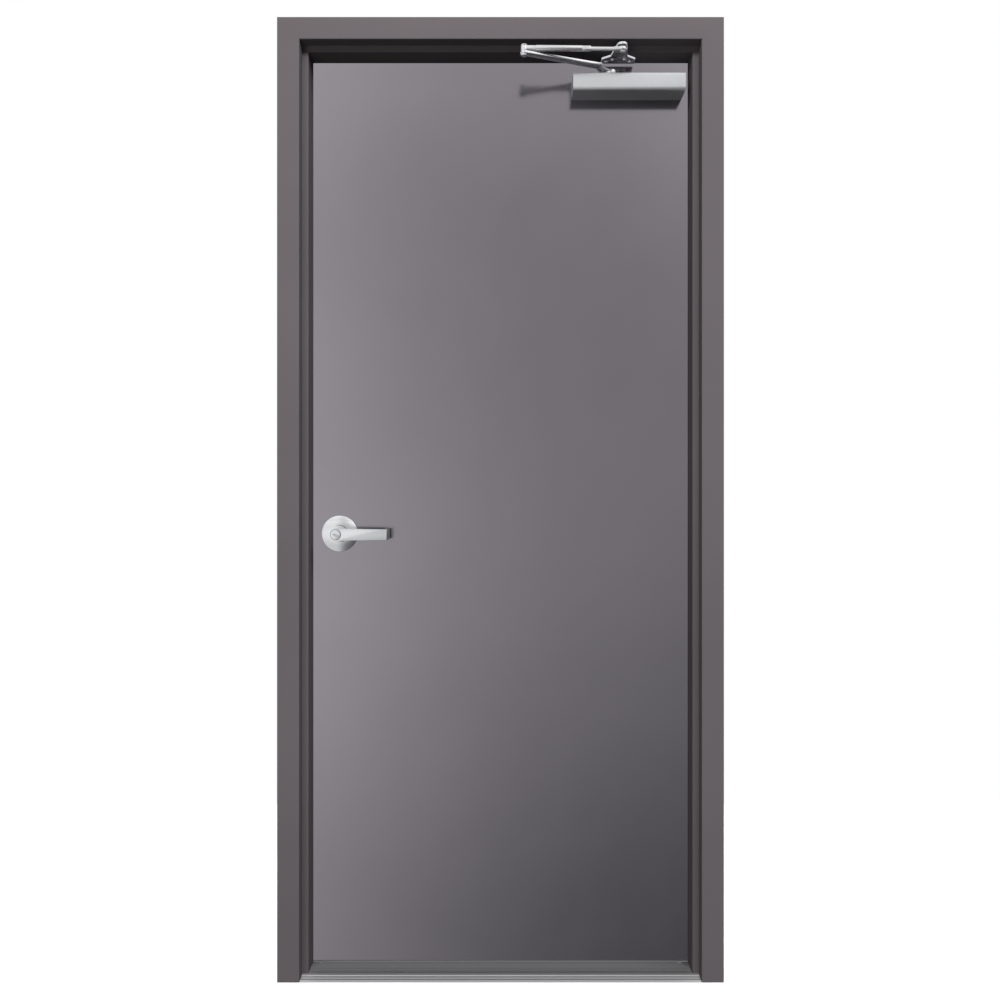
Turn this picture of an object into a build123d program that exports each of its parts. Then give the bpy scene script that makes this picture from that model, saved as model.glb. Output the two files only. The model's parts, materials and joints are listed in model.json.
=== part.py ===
"""Single flush steel door in a pressed-steel frame, with a lever lock and an overhead closer.

The door is seen square-on from its push side, which faces -Y. The leaf is hung at +X on
three butt hinges and swings away towards +Y. The origin is on the floor, in the middle of
the opening's width and of the frame's depth. Units are millimetres.
"""
import math
import os

from build123d import *

os.makedirs("parts", exist_ok=True)

# Opening and pressed-steel frame
opening_width = 914.4
opening_height = 2143.6
frame_depth = 146.05
face_width = 50.8
frame_sheet = 1.9
bend_radius = 2.4
wall_return = 12.7
front_rabbet = 34.9
door_rabbet = 49.2
stop_height = 14.3

# Leaf
leaf_thickness = 44.45
side_gap = 5.0
head_gap = 5.0
floor_gap = 3.2
stop_gap = 3.0
skin_sheet = 1.2
edge_bevel = 2.8
channel_sheet = 1.6
channel_flange = 32.0

# Threshold
threshold_height = 4.0
ramp_length = 33.0
ramp_toe = 1.6
flute_depth = 0.8
flute_width = 2.6
flute_depths_in = (14.0, 25.0, 44.0, 54.0)
threshold_end_gap = 0.3
threshold_screw_diameter = 5.6
threshold_screw_edge = 34.2
threshold_screw_depth = 92.0

# Butt hinges
hinge_height = 114.3
hinge_inset = 38.0
hinge_plate = 3.4
hinge_corner = 3.0
knuckle_count = 3
knuckle_radius = 6.8
knuckle_gap = 0.5
hinge_pin_radius = 3.9
pin_running_fit = 0.05
hinge_axis_proud = 8.2
top_hinge_drop = 196.0
bottom_hinge_rise = 312.0
mortise_fit = 0.3
reinforcement_plate = 5.0
reinforcement_margin = 14.0

# Lock
lock_backset = 69.85
lock_height = 1016.0
lock_bore_radius = 27.0
chassis_radius = 25.4
chassis_sides = 12
rose_radius = 42.6
rose_height = 9.0
rose_rim = 3.2
rose_top_radius = 24.0
hub_radius = 20.0
hub_length = 16.0
hub_clearance = 0.4
lever_projection = 62.0
lever_length = 120.0
lever_thickness = 10.0
lever_root_height = 28.2
lever_tip_height = 24.0
lever_corner_radius = 3.0
lever_end_gap = 12.0
key_cylinder_radius = 11.6
key_cylinder_proud = 0.8
key_bore_fit = 0.15
key_cylinder_length = 30.0
keyway_length = 9.0
keyway_width = 1.8
keyway_depth = 6.0
turn_button_width = 4.0
turn_button_rise = 7.0
faceplate_width = 28.6
faceplate_height = 57.2
faceplate_thickness = 3.2
latch_case_size = 22.0
latch_case_fit = 0.4
latch_bolt_width = 12.7
latch_bolt_height = 18.4
latch_bolt_length = 28.0
latch_fit = 0.2
latch_bolt_slope = 7.6

# Strike
strike_height = 123.8
strike_width = 31.8
strike_plate_thickness = 2.4
strike_hole_height = 26.0
strike_hole_width = 16.0
strike_lip_height = 66.0
strike_lip_radius = 9.0
strike_lip_turn = 50.0
strike_notch_extra = 4.5
strike_box_wall = 2.0
strike_box_depth = 16.0
strike_box_margin = 8.0

# Silencers
silencer_radius = 4.5
silencer_height = 2.7
silencer_end_margin = 330.0
silencer_above_strike = 116.0

# Overhead closer
closer_length = 260.3
closer_height = 41.5
closer_projection = 64.0
closer_edge_margin = 24.2
closer_top_drop = 53.6
closer_front_radius = 8.0
cover_wall = 2.2
cover_fit = 0.3
closer_base_plate = 4.0
closer_body_inset = 12.0
closer_body_front_gap = 4.0
pinion_radius = 8.0
pinion_fit = 0.1
pinion_depth_inside = 12.0
pinion_from_end = 172.0
pinion_standoff = 34.8

# Closer arms
hub_disc_radius = 13.5
hub_disc_height = 9.0
hub_disc_lift = 4.0
arm_thickness = 4.8
arm_width = 25.0
arm_elbow_width = 18.0
arm_step_start = 16.0
arm_step_length = 12.0
arm_step_offset = 1.6
arm_under_sleeve = 2.2
elbow_radius = 7.25
elbow_pin_radius = 4.0
elbow_running_fit = 0.1
elbow_face_gap = 0.6
elbow_cap = 2.6
elbow_foot = 4.5
forearm_drop = 12.3
forearm_length = 222.0
forearm_rest_angle = 1.3
sleeve_radius = 6.5
sleeve_start = 27.0
sleeve_length = 104.0
sleeve_bore_depth = 40.0
neck_height = 7.4
neck_width = 11.0
nut_radius = 6.9
nut_length = 20.0
rod_radius = 4.25
eye_width = 19.0
eye_thickness = 6.0
eye_neck_width = 12.5
rod_into_eye = 6.0
pivot_bolt_radius = 4.0
pivot_bolt_head_radius = 6.8
pivot_bolt_head_height = 3.4
open_pivot_clearance = 2.0

# Arm bracket under the head stop
bracket_plate = 5.0
bracket_pivot_x = 275.5
bracket_stop_margin = 9.8
bracket_tip_radius = 11.0
bracket_back_half = 39.0
bracket_wing_length = 23.0
bracket_waist_half = 19.5
bracket_waist_length = 38.4
bracket_neck_half = 15.0
bracket_neck_length = 74.0
bracket_pivot_length = 96.0
bracket_screw_diameter = 5.4
bracket_outer_screw_x = 27.5
bracket_outer_screw_in = 11.0
bracket_inner_screw_x = 13.8
bracket_inner_screw_in = 22.0

# Floor anchors inside the jambs
anchor_sheet = 2.0
anchor_width = 90.0
anchor_foot = 36.0
anchor_rise = 60.0
anchor_hole_diameter = 10.3

# Places that follow from the driving dimensions
push_y = -frame_depth / 2
pull_y = frame_depth / 2
half_opening = opening_width / 2
frame_height = opening_height + face_width
frame_half_width = half_opening + face_width
stop_back_y = pull_y - door_rabbet
stop_inner_x = half_opening - stop_height
stop_underside = opening_height - stop_height

leaf_push_y = stop_back_y + stop_gap
leaf_pull_y = leaf_push_y + leaf_thickness
leaf_middle_y = (leaf_push_y + leaf_pull_y) / 2
leaf_hinge_x = half_opening - side_gap
leaf_lock_x = -half_opening + side_gap
leaf_bottom = threshold_height + floor_gap
leaf_top = opening_height - head_gap
leaf_height = leaf_top - leaf_bottom

hinge_axis_x = half_opening - side_gap / 2
hinge_axis_y = pull_y + hinge_axis_proud
top_hinge_z = opening_height - top_hinge_drop
bottom_hinge_z = leaf_bottom + bottom_hinge_rise
middle_hinge_z = (top_hinge_z + bottom_hinge_z) / 2
hinge_heights = (bottom_hinge_z, middle_hinge_z, top_hinge_z)
hinge_names = ("bottom", "middle", "top")
knuckle_length = (hinge_height - (knuckle_count - 1) * knuckle_gap) / knuckle_count
knuckle_pitch = knuckle_length + knuckle_gap
frame_knuckles = range(0, knuckle_count, 2)
leaf_knuckles = range(1, knuckle_count, 2)

silencer_heights = (
    silencer_end_margin,
    lock_height + silencer_above_strike,
    opening_height - silencer_end_margin,
)
lock_x = leaf_lock_x + edge_bevel / 2 + lock_backset
strike_x = -half_opening

bracket_back_y = stop_back_y - bracket_stop_margin
bracket_pivot_y = bracket_back_y - bracket_pivot_length
elbow_x = bracket_pivot_x - forearm_length * math.cos(math.radians(forearm_rest_angle))
elbow_y = bracket_pivot_y - forearm_length * math.sin(math.radians(forearm_rest_angle))
closer_end_x = leaf_hinge_x - closer_edge_margin
pinion_x = closer_end_x - pinion_from_end
pinion_y = leaf_push_y - pinion_standoff
closer_top = leaf_top - closer_top_drop
closer_bottom = closer_top - closer_height
closer_front_y = leaf_push_y - closer_projection
closer_start_x = closer_end_x - closer_length
bracket_underside = stop_underside - bracket_plate
forearm_z = stop_underside - forearm_drop
arm_top = forearm_z - sleeve_radius - arm_under_sleeve
arm_bottom = arm_top - arm_thickness
hub_bottom = closer_top + hub_disc_lift
hub_top = hub_bottom + hub_disc_height
main_arm_length = math.hypot(pinion_x - elbow_x, pinion_y - elbow_y)
main_arm_angle = math.degrees(math.atan2(elbow_y - pinion_y, elbow_x - pinion_x))

# Pressed frame section: x runs outward from the opening's edge, y inward from the push face
frame_bends = [
    (face_width, 0),
    (0, 0),
    (0, front_rabbet),
    (-stop_height, front_rabbet),
    (-stop_height, frame_depth - door_rabbet),
    (0, frame_depth - door_rabbet),
    (0, frame_depth),
    (face_width, frame_depth),
]


def is_visible_bend(corner):
    """Whether a corner of the section is a bend of its visible side."""
    return min(math.dist((corner.X, corner.Y), bend) for bend in frame_bends) < frame_sheet / 2


with BuildSketch() as frame_section:
    with BuildLine():
        Polyline((face_width, wall_return), *frame_bends, (face_width, frame_depth - wall_return))
        offset(amount=frame_sheet, side=Side.RIGHT, kind=Kind.INTERSECTION)
    make_face()
    fillet(vertices().filter_by(is_visible_bend), bend_radius)

hinge_mitre = Plane(origin=(half_opening, 0, opening_height), z_dir=(-1, 0, 1))
strike_mitre = Plane(origin=(-half_opening, 0, opening_height), z_dir=(1, 0, 1))
hinge_soffit = Plane(origin=(half_opening, pull_y, 0), x_dir=(0, 1, 0), z_dir=(1, 0, 0))
strike_soffit = Plane(origin=(strike_x, leaf_middle_y, 0), x_dir=(0, -1, 0), z_dir=(-1, 0, 0))

strike_jamb_top = Plane(origin=(-half_opening, push_y, frame_height), x_dir=(-1, 0, 0), z_dir=(0, 0, -1))
head_end = Plane(origin=(frame_half_width, push_y, opening_height), x_dir=(0, 0, 1), z_dir=(-1, 0, 0))

# Hinge jamb, with a pan pressed in for each hinge
pan_width = hinge_inset + mortise_fit + frame_sheet
pan_height = hinge_height + 2 * (mortise_fit + frame_sheet)
with BuildPart() as hinge_jamb:
    with BuildSketch(Plane((half_opening, push_y, 0))):
        add(frame_section.sketch)
    extrude(amount=frame_height)
    split(bisect_by=hinge_mitre, keep=Keep.BOTTOM)
    with BuildSketch(hinge_soffit):
        with Locations(*[(-pan_width / 2, height) for height in hinge_heights]):
            Rectangle(pan_width, pan_height)
    extrude(amount=hinge_plate + frame_sheet)
    with BuildSketch(hinge_soffit.offset(-bend_radius)):
        with Locations(*[(0, height) for height in hinge_heights]):
            Rectangle(2 * (hinge_inset + mortise_fit), hinge_height + 2 * mortise_fit)
    extrude(amount=bend_radius + hinge_plate, mode=Mode.SUBTRACT)
hinge_jamb.part.label = "hinge_jamb"
export_step(hinge_jamb.part, "parts/hinge_jamb.step")

# Strike jamb, with the strike's cut-out and the notch for its lip
with BuildPart() as strike_jamb:
    with BuildSketch(strike_jamb_top):
        add(frame_section.sketch)
    extrude(amount=frame_height)
    split(bisect_by=strike_mitre, keep=Keep.BOTTOM)
    with BuildSketch(strike_soffit.offset(-bend_radius)):
        with Locations((0, lock_height)):
            Rectangle(strike_width + 2 * mortise_fit, strike_height + 2 * mortise_fit)
        with Locations((leaf_middle_y - pull_y, lock_height)):
            Rectangle(2 * (pull_y - leaf_middle_y), strike_lip_height + 2 * mortise_fit)
    extrude(amount=2 * bend_radius + frame_sheet + strike_notch_extra, mode=Mode.SUBTRACT)
strike_jamb.part.label = "strike_jamb"
export_step(strike_jamb.part, "parts/strike_jamb.step")

# Head, mitred into both jambs
with BuildPart() as head:
    with BuildSketch(head_end):
        add(frame_section.sketch)
    extrude(amount=2 * frame_half_width)
    split(bisect_by=hinge_mitre, keep=Keep.TOP)
    split(bisect_by=strike_mitre, keep=Keep.TOP)
head.part.label = "head"
export_step(head.part, "parts/head.step")

# Reinforcing plates welded inside the hinge jamb, behind the hinge pans
reinforcement_start_y = stop_back_y + frame_sheet + bend_radius
reinforcement_end_y = pull_y - frame_sheet - bend_radius
reinforcement_middle_y = (reinforcement_start_y + reinforcement_end_y) / 2
with BuildPart() as frame_hinge_reinforcements:
    with BuildSketch(hinge_soffit.offset(hinge_plate + frame_sheet)):
        with Locations(*[(reinforcement_middle_y - pull_y, height) for height in hinge_heights]):
            Rectangle(
                reinforcement_end_y - reinforcement_start_y,
                hinge_height + 2 * reinforcement_margin,
            )
    extrude(amount=reinforcement_plate)
frame_hinge_reinforcements.part.label = "frame_hinge_reinforcements"
export_step(frame_hinge_reinforcements.part, "parts/frame_hinge_reinforcements.step")

# Threshold: a fluted plate with a ramp at each face, notched round the stops
stop_middle_y = (push_y + front_rabbet + stop_back_y) / 2
with BuildPart() as threshold:
    with BuildSketch(Plane.XY):
        Rectangle(2 * (half_opening - threshold_end_gap), frame_depth)
        with Locations((half_opening, stop_middle_y), (-half_opening, stop_middle_y)):
            Rectangle(
                2 * (stop_height + threshold_end_gap),
                stop_back_y - push_y - front_rabbet + 2 * threshold_end_gap,
                mode=Mode.SUBTRACT,
            )
        corners = vertices().filter_by(lambda corner: abs(corner.Y) < pull_y - bend_radius)
        fillet(
            corners.filter_by(lambda corner: abs(corner.X) > half_opening - bend_radius),
            bend_radius,
        )
        with Locations(
            (half_opening - threshold_screw_edge, push_y + threshold_screw_depth),
            (-half_opening + threshold_screw_edge, push_y + threshold_screw_depth),
        ):
            Circle(threshold_screw_diameter / 2, mode=Mode.SUBTRACT)
    extrude(amount=threshold_height)
    with BuildSketch(Plane.YZ):
        with BuildLine():
            Polyline(
                (push_y, 0),
                (push_y, ramp_toe),
                (push_y + ramp_length, threshold_height),
                (pull_y - ramp_length, threshold_height),
                (pull_y, ramp_toe),
                (pull_y, 0),
                close=True,
            )
        make_face()
        for depth_in in flute_depths_in:
            surface = ramp_toe + (threshold_height - ramp_toe) * min(depth_in / ramp_length, 1)
            with Locations((push_y + depth_in, surface), (pull_y - depth_in, surface)):
                Rectangle(flute_width, 2 * flute_depth, mode=Mode.SUBTRACT)
    extrude(amount=half_opening, both=True, mode=Mode.INTERSECT)
threshold.part.label = "threshold"
export_step(threshold.part, "parts/threshold.step")

# Angle anchors welded inside the jambs, which bolt the frame to the floor
for name, side in (("hinge_jamb_anchor", 1), ("strike_jamb_anchor", -1)):
    with BuildPart() as anchor:
        anchor_x = side * (half_opening + frame_sheet)
        with BuildSketch(Plane(origin=(0, 0, 0), x_dir=(1, 0, 0), z_dir=(0, -1, 0))):
            with BuildLine():
                Polyline(
                    (anchor_x, 0),
                    (anchor_x + side * anchor_foot, 0),
                    (anchor_x + side * anchor_foot, anchor_sheet),
                    (anchor_x + side * anchor_sheet, anchor_sheet),
                    (anchor_x + side * anchor_sheet, anchor_rise),
                    (anchor_x, anchor_rise),
                    close=True,
                )
            make_face()
        extrude(amount=anchor_width / 2, both=True)
        with Locations(Plane(origin=(anchor_x + side * (anchor_foot + anchor_sheet) / 2, 0, anchor_sheet))):
            Hole(anchor_hole_diameter / 2, depth=anchor_sheet)
    anchor.part.label = name
    export_step(anchor.part, f"parts/{name}.step")

# Strike plate with its curved lip, and the box that backs it
lip_start_y = pull_y - bend_radius
with BuildPart() as strike_plate:
    with BuildSketch(strike_soffit):
        with Locations((0, lock_height)):
            RectangleRounded(strike_width, strike_height, hinge_corner)
            Rectangle(strike_hole_width, strike_hole_height, mode=Mode.SUBTRACT)
    extrude(amount=strike_plate_thickness)
    with BuildSketch(Plane.XY.offset(lock_height)):
        with BuildLine():
            lip_run = Line((strike_x, leaf_middle_y + strike_width / 2), (strike_x, lip_start_y))
            lip_curl = JernArc(lip_run @ 1, (0, 1), strike_lip_radius, strike_lip_turn)
            offset(amount=strike_plate_thickness, side=Side.LEFT)
        make_face()
    extrude(amount=strike_lip_height / 2, both=True)
strike_plate.part.label = "strike_plate"
export_step(strike_plate.part, "parts/strike_plate.step")

with BuildPart() as strike_box:
    with BuildSketch(strike_soffit.offset(frame_sheet)):
        with Locations((0, lock_height)):
            Rectangle(strike_width + 2 * strike_box_wall, strike_height + 2 * strike_box_margin)
    extrude(amount=strike_box_wall)
    with BuildSketch(strike_soffit.offset(frame_sheet)):
        with Locations((0, lock_height)):
            Rectangle(strike_hole_width + 2 * strike_box_wall, strike_hole_height + 2 * strike_box_wall)
    extrude(amount=strike_box_depth)
    with BuildSketch(strike_soffit.offset(frame_sheet)):
        with Locations((0, lock_height)):
            Rectangle(strike_hole_width, strike_hole_height)
    extrude(amount=strike_box_depth - strike_box_wall, mode=Mode.SUBTRACT)
    with BuildSketch(strike_soffit):
        with Locations((0, lock_height)):
            Rectangle(strike_width + 2 * mortise_fit, strike_height + 2 * mortise_fit)
        with Locations((leaf_middle_y - pull_y, lock_height)):
            Rectangle(2 * (pull_y - leaf_middle_y), strike_lip_height + 2 * mortise_fit)
    extrude(amount=strike_plate_thickness, mode=Mode.SUBTRACT)
strike_box.part.label = "strike_box"
export_step(strike_box.part, "parts/strike_box.step")

# Rubber silencers on the strike jamb's stop
silencer_x = -half_opening + stop_height / 2
silencer_plane = Plane(origin=(silencer_x, stop_back_y, 0), x_dir=(1, 0, 0), z_dir=(0, 1, 0))
with BuildPart() as silencers:
    with BuildSketch(silencer_plane):
        with Locations(*[(0, -height) for height in silencer_heights]):
            Circle(silencer_radius)
    extrude(amount=silencer_height)
silencers.part.label = "silencers"
export_step(silencers.part, "parts/silencers.step")

# Plan outline of the leaf: its lock edge is bevelled so that it clears the jamb
with BuildSketch() as leaf_outline:
    with BuildLine():
        Polyline(
            (leaf_lock_x + edge_bevel, leaf_push_y),
            (leaf_hinge_x, leaf_push_y),
            (leaf_hinge_x, leaf_pull_y),
            (leaf_lock_x, leaf_pull_y),
            close=True,
        )
    make_face()
with BuildSketch() as leaf_inside:
    add(leaf_outline.sketch)
    offset(amount=-skin_sheet, kind=Kind.INTERSECTION, mode=Mode.REPLACE)

leaf_hinge_edge = Plane(origin=(leaf_hinge_x, leaf_pull_y, 0), x_dir=(0, -1, 0), z_dir=(-1, 0, 0))
leaf_lock_plane = Plane(origin=(lock_x, leaf_middle_y, lock_height), x_dir=(1, 0, 0), z_dir=(0, -1, 0))
latch_plane = Plane(origin=(leaf_lock_x, leaf_middle_y, lock_height), x_dir=(0, 1, 0), z_dir=(1, 0, 0))

# Push and pull skins: pans that meet in a seam along the middle of both edges
for name, half_y in (("push_skin", leaf_push_y), ("pull_skin", leaf_pull_y)):
    with BuildPart() as skin:
        with BuildSketch(Plane.XY.offset(leaf_bottom)):
            add(leaf_outline.sketch)
            add(leaf_inside.sketch, mode=Mode.SUBTRACT)
            with Locations((0, half_y)):
                Rectangle(opening_width, leaf_thickness, mode=Mode.INTERSECT)
        extrude(amount=leaf_height)
        with BuildSketch(leaf_lock_plane):
            Circle(lock_bore_radius)
        extrude(amount=leaf_thickness, both=True, mode=Mode.SUBTRACT)
        with BuildSketch(leaf_hinge_edge):
            with Locations(*[(0, height) for height in hinge_heights]):
                Rectangle(2 * (hinge_inset + mortise_fit), hinge_height + 2 * mortise_fit)
        extrude(amount=hinge_plate + mortise_fit, mode=Mode.SUBTRACT)
        with BuildSketch(latch_plane):
            Rectangle(faceplate_width + 2 * mortise_fit, faceplate_height + 2 * mortise_fit)
        extrude(amount=faceplate_thickness + edge_bevel, mode=Mode.SUBTRACT)
    skin.part.label = name
    export_step(skin.part, f"parts/{name}.step")

# Channels that close the leaf at its top and its bottom
with BuildPart() as top_channel:
    with BuildSketch(Plane.XY.offset(leaf_top - channel_flange)):
        add(leaf_inside.sketch)
    extrude(amount=channel_flange)
    with BuildSketch(Plane.XY.offset(leaf_top - channel_flange)):
        add(leaf_inside.sketch)
        offset(amount=-channel_sheet, kind=Kind.INTERSECTION, mode=Mode.REPLACE)
    extrude(amount=channel_flange - channel_sheet, mode=Mode.SUBTRACT)
top_channel.part.label = "top_channel"
export_step(top_channel.part, "parts/top_channel.step")

with BuildPart() as bottom_channel:
    with BuildSketch(Plane.XY.offset(leaf_bottom)):
        add(leaf_inside.sketch)
    extrude(amount=channel_flange)
    with BuildSketch(Plane.XY.offset(leaf_bottom)):
        add(leaf_inside.sketch)
        offset(amount=-channel_sheet, kind=Kind.INTERSECTION, mode=Mode.REPLACE)
    extrude(amount=channel_flange - channel_sheet, mode=Mode.SUBTRACT)
bottom_channel.part.label = "bottom_channel"
export_step(bottom_channel.part, "parts/bottom_channel.step")

# Hinge reinforcements inside the leaf
leaf_reinforcement_width = leaf_thickness - 2 * skin_sheet
with BuildPart() as leaf_hinge_reinforcements:
    with BuildSketch(leaf_hinge_edge.offset(skin_sheet)):
        with Locations(*[(leaf_thickness / 2, height) for height in hinge_heights]):
            Rectangle(leaf_reinforcement_width, hinge_height + 2 * reinforcement_margin)
    extrude(amount=reinforcement_plate)
    with BuildSketch(leaf_hinge_edge):
        with Locations(*[(0, height) for height in hinge_heights]):
            Rectangle(2 * (hinge_inset + mortise_fit), hinge_height + 2 * mortise_fit)
    extrude(amount=hinge_plate, mode=Mode.SUBTRACT)
leaf_hinge_reinforcements.part.label = "leaf_hinge_reinforcements"
export_step(leaf_hinge_reinforcements.part, "parts/leaf_hinge_reinforcements.step")

# Honeycomb core, cut out round the lock, the latch and the reinforcements
with BuildPart() as core:
    with BuildSketch(Plane.XY.offset(leaf_bottom + channel_flange)):
        add(leaf_inside.sketch)
    extrude(amount=leaf_height - 2 * channel_flange)
    with BuildSketch(leaf_hinge_edge):
        with Locations(*[(leaf_thickness / 2, height) for height in hinge_heights]):
            Rectangle(leaf_thickness, hinge_height + 2 * reinforcement_margin)
    extrude(amount=skin_sheet + reinforcement_plate, mode=Mode.SUBTRACT)
    with BuildSketch(leaf_lock_plane):
        Rectangle(2 * lock_bore_radius, 2 * lock_bore_radius)
    extrude(amount=leaf_thickness, both=True, mode=Mode.SUBTRACT)
    with BuildSketch(latch_plane):
        Rectangle(latch_case_size + 2 * latch_case_fit, latch_case_size + 2 * latch_case_fit)
    extrude(amount=lock_backset, mode=Mode.SUBTRACT)
    with BuildSketch(latch_plane):
        Rectangle(faceplate_width + 2 * mortise_fit, faceplate_height + 2 * mortise_fit)
    extrude(amount=faceplate_thickness + edge_bevel, mode=Mode.SUBTRACT)
core.part.label = "core"
export_step(core.part, "parts/core.step")


# Hinge plates, each with its share of the knuckles; the frame's plates hold the pins
def knuckle_places(height, knuckles):
    """Middles of some knuckles of the hinge at one height."""
    lowest = height - (hinge_height - knuckle_length) / 2
    return [(hinge_axis_x, hinge_axis_y, lowest + knuckle * knuckle_pitch) for knuckle in knuckles]


def hinge_plate_part(height, edge_plane, own, other):
    """One plate of a hinge: let into its edge, notched for the other plate's knuckles."""
    axis_ahead = hinge_axis_y - edge_plane.origin.Y
    along = edge_plane.x_dir.Y
    with BuildPart() as plate:
        with BuildSketch(edge_plane):
            with Locations((along * (axis_ahead - hinge_inset) / 2, height)):
                Rectangle(axis_ahead + hinge_inset, hinge_height)
        extrude(amount=hinge_plate)
        fillet(plate.edges().filter_by(Axis.X).group_by(Axis.Y)[0], hinge_corner)
        notch = 2 * (knuckle_radius + knuckle_gap)
        with Locations(*knuckle_places(height, other)):
            Box(notch, notch, knuckle_length + 2 * knuckle_gap, mode=Mode.SUBTRACT)
        with Locations(*knuckle_places(height, own)):
            Cylinder(knuckle_radius, knuckle_length)
    return plate


for hinge_name, height in zip(hinge_names, hinge_heights):
    frame_hinge = hinge_plate_part(height, hinge_soffit, frame_knuckles, leaf_knuckles)
    with frame_hinge:
        with Locations((hinge_axis_x, hinge_axis_y, height)):
            Cylinder(hinge_pin_radius, hinge_height)
    frame_hinge.part.label = f"frame_hinge_{hinge_name}"
    export_step(frame_hinge.part, f"parts/frame_hinge_{hinge_name}.step")

    leaf_hinge = hinge_plate_part(height, leaf_hinge_edge, leaf_knuckles, frame_knuckles)
    with leaf_hinge:
        with Locations((hinge_axis_x, hinge_axis_y, height)):
            Cylinder(hinge_pin_radius + pin_running_fit, hinge_height, mode=Mode.SUBTRACT)
    leaf_hinge.part.label = f"leaf_hinge_{hinge_name}"
    export_step(leaf_hinge.part, f"parts/leaf_hinge_{hinge_name}.step")

# Latch: a faceplate bevelled with the edge, its case, and the bolt drawn back flush
with BuildPart() as latch_faceplate:
    with BuildSketch(Plane.XY.offset(lock_height)):
        add(leaf_outline.sketch)
        with Locations((leaf_lock_x, leaf_middle_y)):
            Rectangle(2 * (faceplate_thickness + edge_bevel / 2), faceplate_width, mode=Mode.INTERSECT)
    extrude(amount=faceplate_height / 2, both=True)
    with BuildSketch(latch_plane.offset(faceplate_thickness + edge_bevel / 2)):
        Rectangle(latch_case_size, latch_case_size)
    extrude(amount=lock_backset - chassis_radius - faceplate_thickness)
    with BuildSketch(latch_plane):
        Rectangle(latch_bolt_width + 2 * latch_fit, latch_bolt_height + 2 * latch_fit)
    extrude(amount=latch_bolt_length + edge_bevel, mode=Mode.SUBTRACT)
latch_faceplate.part.label = "latch_faceplate"
export_step(latch_faceplate.part, "parts/latch_faceplate.step")

with BuildPart() as latch_bolt:
    with BuildSketch(latch_plane.offset(edge_bevel)):
        Rectangle(latch_bolt_width, latch_bolt_height)
    extrude(amount=latch_bolt_length)
    chamfer(
        latch_bolt.edges().filter_by(Axis.Z).group_by(Axis.X)[0].sort_by(Axis.Y)[-1],
        latch_bolt_slope,
    )
latch_bolt.part.label = "latch_bolt"
export_step(latch_bolt.part, "parts/latch_bolt.step")

# Lock chassis in the bore
with BuildPart() as lock_chassis:
    with BuildSketch(leaf_lock_plane):
        RegularPolygon(chassis_radius, chassis_sides)
    extrude(amount=leaf_thickness / 2, both=True)
lock_chassis.part.label = "lock_chassis"
export_step(lock_chassis.part, "parts/lock_chassis.step")


# Roses, lever hubs and lever bars are drawn in plan and turned round the spindle
def lock_plan(face_y):
    """Plan plane with its origin where the spindle meets the leaf face at face_y."""
    return Plane(origin=(lock_x, face_y, lock_height), x_dir=(1, 0, 0), z_dir=(0, 0, 1))


def lock_front(face_y):
    """Upright plane parallel to the leaf, with its origin on the spindle at face_y."""
    return Plane(origin=(lock_x, face_y, lock_height), x_dir=(1, 0, 0), z_dir=(0, -1, 0))


def rose_part(face_y, outward):
    """Rose on the leaf face at face_y, a low cone; outward is -1 towards the push side."""
    with BuildPart() as rose:
        with BuildSketch(lock_plan(face_y)):
            with BuildLine():
                Polyline(
                    (0, 0),
                    (rose_radius, 0),
                    (rose_radius, outward * rose_rim),
                    (rose_top_radius, outward * rose_height),
                    (0, outward * rose_height),
                    close=True,
                )
            make_face()
        revolve(axis=Axis((lock_x, face_y, lock_height), (0, 1, 0)))
    return rose.part


for name, face_y, outward in (("rose_push", leaf_push_y, -1), ("rose_pull", leaf_pull_y, 1)):
    rose = rose_part(face_y, outward)
    rose.label = name
    export_step(rose, f"parts/{name}.step")


def lever_part(face_y, outward):
    """Lever beside the leaf face at face_y: a hub, a flat tapering bar and a return at its end."""
    front = outward * lever_projection
    back = front - outward * lever_thickness
    end = outward * lever_end_gap
    hub_start = outward * (rose_height + hub_clearance)
    hub_end = outward * (rose_height + hub_length)
    with BuildPart() as lever:
        with BuildSketch(lock_plan(face_y)):
            with BuildLine():
                Polyline(
                    (0, front),
                    (lever_length, front),
                    (lever_length, end),
                    (lever_length - lever_thickness, end),
                    (lever_length - lever_thickness, back),
                    (0, back),
                    close=True,
                )
            make_face()
            tip_corners = vertices().group_by(Axis.X)[-1]
            fillet(tip_corners.sort_by(lambda corner: abs(corner.Y - face_y))[-1], lever_corner_radius)
        extrude(amount=lever_root_height / 2, both=True)
        with BuildSketch(lock_front(face_y)):
            with BuildLine():
                Polyline(
                    (0, -lever_root_height / 2),
                    (lever_length, -lever_tip_height / 2),
                    (lever_length, lever_tip_height / 2),
                    (0, lever_root_height / 2),
                    close=True,
                )
            make_face()
        extrude(amount=2 * lever_projection, both=True, mode=Mode.INTERSECT)
        with BuildSketch(lock_plan(face_y)):
            with BuildLine():
                Polyline(
                    (0, hub_start),
                    (hub_radius, hub_start),
                    (hub_radius, hub_end),
                    (lever_root_height / 2, hub_end),
                    (lever_root_height / 2, front),
                    (0, front),
                    close=True,
                )
            make_face()
        revolve(axis=Axis((lock_x, face_y, lock_height), (0, 1, 0)))
    return lever


lever_pull = lever_part(leaf_pull_y, 1)
lever_pull.part.label = "lever_pull"
export_step(lever_pull.part, "parts/lever_pull.step")

# The push lever is bored for the key cylinder
lever_push = lever_part(leaf_push_y, -1)
with lever_push:
    with Locations(lock_front(leaf_push_y - lever_projection)):
        Hole(key_cylinder_radius + key_bore_fit, depth=key_cylinder_length)
lever_push.part.label = "lever_push"
export_step(lever_push.part, "parts/lever_push.step")

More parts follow.
